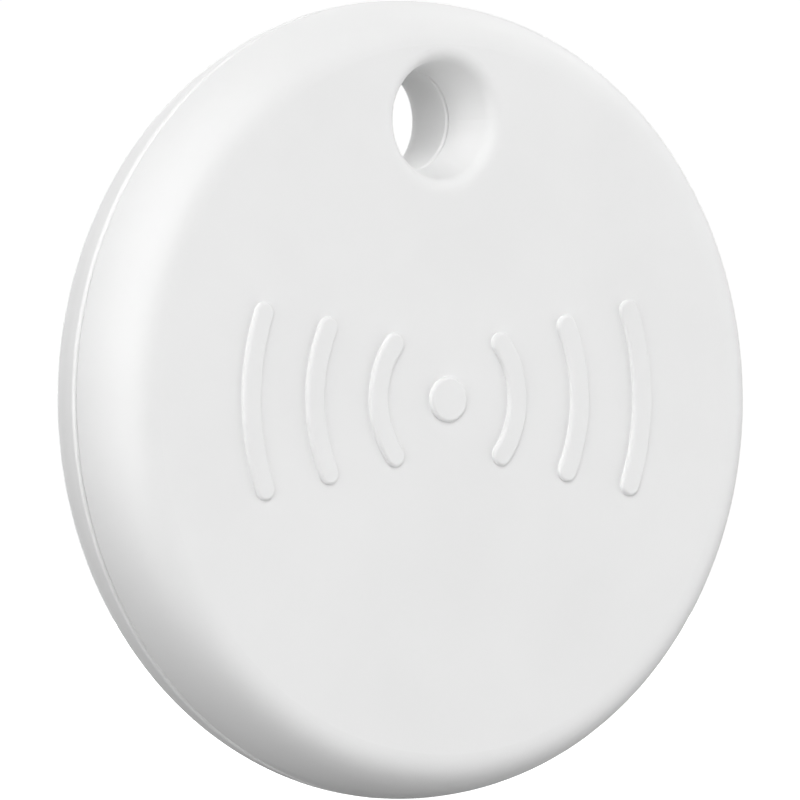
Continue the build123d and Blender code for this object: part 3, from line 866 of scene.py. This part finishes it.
# ---------------------------------------------------------------- detail on other parts
def add_polarity_marks():
    """A plus pressed into the face of the cell, and one moulded on its holder."""
    mesh = bmesh.new()
    outline = moved(plus_sign(3.6 * MM, 0.6 * MM), cell_centre.x, cell_centre.z + 5.2 * MM)
    add_slab(mesh, outline, can_low.y - 0.04 * MM, can_low.y + 0.05 * MM, edge=0.03 * MM)
    make_piece("cell_plus_mark", mesh, "battery", materials["nickel_steel"])

    holder_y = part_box("battery_holder")[0].y
    mesh = bmesh.new()
    for bearing in (45, 135):
        x, z = on_disc(10.7 * MM, bearing, cell_centre)
        outline = moved(plus_sign(0.62 * MM, 0.16 * MM), x, z)
        add_slab(mesh, outline, holder_y - 0.05 * MM, holder_y + 0.05 * MM, edge=0.02 * MM)
    plastic = materials["holder_plastic"]
    make_piece("holder_plus_marks", mesh, "rear_case", plastic)


def add_ejector_marks():
    """Rings that the mould's ejector pins left inside the front cover."""
    floor_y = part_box("buzzer_adhesive")[0].y
    mesh = bmesh.new()
    for bearing in (4, 58, 122, 176):
        x, z = on_disc(14.6 * MM, bearing)
        outer = moved(circle(0.95 * MM, 48), x, z)
        inner = moved(circle(0.85 * MM, 48), x, z)
        add_frame(mesh, outer, inner, floor_y - 0.02 * MM, floor_y + 0.03 * MM)
    make_piece("ejector_marks", mesh, "front_case", materials["case_plastic"])


solder_metal = solder()
board_print = board_ink()
for add_detail in (
    add_terminals,
    add_chip_pads,
    add_pin_one_marks,
    add_crystal_lids,
    add_inductor_top,
    add_antenna_strips,
    add_switch_pegs,
    add_contact_welds,
    add_tracks,
    add_vias,
    add_ink,
    add_polarity_marks,
    add_ejector_marks,
):
    add_detail()


# ---------------------------------------------------------------- camera
CAMERA_AZIMUTH = -36.6        # degrees, seen from the front left
CAMERA_ELEVATION = 0.2
CAMERA_ROLL = -0.4            # the tag's top leans a little to the left
CAMERA_DISTANCE = 1.0
FRAME_WIDTH = 38.87 * MM      # what the picture's width covers at the disc
AIM_RIGHT = 0.09 * MM         # the disc sits a little left of the picture's centre
AIM_UP = -0.02 * MM


def add_camera():
    a, e = radians(CAMERA_AZIMUTH), radians(CAMERA_ELEVATION)
    back = Vector((sin(a) * cos(e), -cos(a) * cos(e), sin(e)))
    turn = back.to_track_quat("Z", "Y").to_matrix().to_4x4() @ Matrix.Rotation(
        radians(CAMERA_ROLL), 4, "Z"
    )
    right, up = turn.col[0].xyz, turn.col[1].xyz
    data = bpy.data.cameras.new("camera")
    data.sensor_width = 36
    data.lens = data.sensor_width * CAMERA_DISTANCE / FRAME_WIDTH
    data.clip_start = 0.01
    data.clip_end = 50
    camera = bpy.data.objects.new("camera", data)
    place = disc_centre + back * CAMERA_DISTANCE + right * AIM_RIGHT + up * AIM_UP
    camera.matrix_world = Matrix.Translation(place) @ turn
    bpy.context.collection.objects.link(camera)
    bpy.context.scene.camera = camera


# ---------------------------------------------------------------- light and stage
LIGHT_DISTANCE = 0.6
LIGHT_WIDTH = 0.45
# name, azimuth (0 is in front, +90 is right), elevation, watts
LIGHTS = (
    ("key", -20, 40, 2.09),
    ("left", -60, 0, 1.58),
    ("left_side", -100, 0, 0.98),
    ("left_rear", -150, 40, 0.48),
    ("right", 60, 0, 1.26),
    ("right_low", 60, -40, 0.86),
    ("right_high", 100, 40, 1.15),
    ("right_rear", 150, 40, 0.73),
    ("rear", 160, 5, 1.2),
)
WORLD_STRENGTH = 0.1          # what the tag receives
WORLD_SEEN = 1.0              # what the camera sees beyond the stage
FLOOR_RADIUS = 2.0
SWEEP_RADIUS = 1.0            # the floor curves up into the backdrop
SWEEP_STEPS = 24
STAGE_SIDES = 96
BACKDROP_HEIGHT = 4.0


def add_light(name, azimuth, elevation, power):
    """A round soft box that faces the disc."""
    a, e = radians(azimuth), radians(elevation)
    away = Vector((sin(a) * cos(e), -cos(a) * cos(e), sin(e)))
    data = bpy.data.lights.new(name, "AREA")
    data.shape = "DISK"
    data.size = LIGHT_WIDTH
    data.energy = power
    light = bpy.data.objects.new(name, data)
    light.location = disc_centre + away * LIGHT_DISTANCE
    light.rotation_euler = away.to_track_quat("Z", "Y").to_euler()
    light.visible_camera = False
    bpy.context.collection.objects.link(light)


def add_world():
    world = bpy.data.worlds.new("studio")
    world.use_nodes = True
    background = world.node_tree.nodes["Background"]
    background.inputs["Color"].default_value = (1, 1, 1, 1)
    strength = world.node_tree.nodes.new("ShaderNodeMapRange")
    strength.inputs["To Min"].default_value = WORLD_STRENGTH
    strength.inputs["To Max"].default_value = WORLD_SEEN
    seen = world.node_tree.nodes.new("ShaderNodeLightPath").outputs["Is Camera Ray"]
    world.node_tree.links.new(seen, strength.inputs["Value"])
    world.node_tree.links.new(strength.outputs["Result"], background.inputs["Strength"])
    bpy.context.scene.world = world


def studio_white():
    """Pale paper that glows enough to read as white, and still takes a faint shadow."""
    m = Material("studio_white", Roughness=0.9, Emission_Strength=0.92)
    m.shader.inputs["Emission Color"].default_value = (1, 1, 1, 1)
    m.tint(m.noise(0.3), (0.82, 0.82, 0.82), 0.025)
    return m.material


def add_stage():
    """A round floor under the tag that sweeps up into the backdrop, seen by the camera only."""
    profile = [(0.0, 0.0), (FLOOR_RADIUS, 0.0)]
    for step in range(1, SWEEP_STEPS + 1):
        angle = pi / 2 * step / SWEEP_STEPS
        profile.append(
            (FLOOR_RADIUS + SWEEP_RADIUS * sin(angle), SWEEP_RADIUS * (1 - cos(angle)))
        )
    profile.append((FLOOR_RADIUS + SWEEP_RADIUS, BACKDROP_HEIGHT))
    profile.append((0.0, BACKDROP_HEIGHT))
    mesh = bmesh.new()
    line = [mesh.verts.new((radius, 0, height)) for radius, height in profile]
    edges = [mesh.edges.new(pair) for pair in zip(line, line[1:])]
    bmesh.ops.spin(
        mesh,
        geom=line + edges,
        cent=(0, 0, 0),
        axis=(0, 0, 1),
        angle=2 * pi,
        steps=STAGE_SIDES,
        use_merge=True,
    )
    bmesh.ops.remove_doubles(mesh, verts=mesh.verts, dist=0.0001)
    data = bpy.data.meshes.new("studio_floor")
    mesh.to_mesh(data)
    mesh.free()
    data.shade_smooth()
    data.materials.append(studio_white())
    floor = bpy.data.objects.new("studio_floor", data)
    floor.location = (disc_centre.x, 0, cad_low[2])
    floor.visible_diffuse = False
    floor.visible_glossy = False
    floor.visible_shadow = False
    bpy.context.collection.objects.link(floor)


add_camera()
for light in LIGHTS:
    add_light(*light)
add_world()
add_stage()
bpy.context.scene.view_settings.view_transform = "Standard"
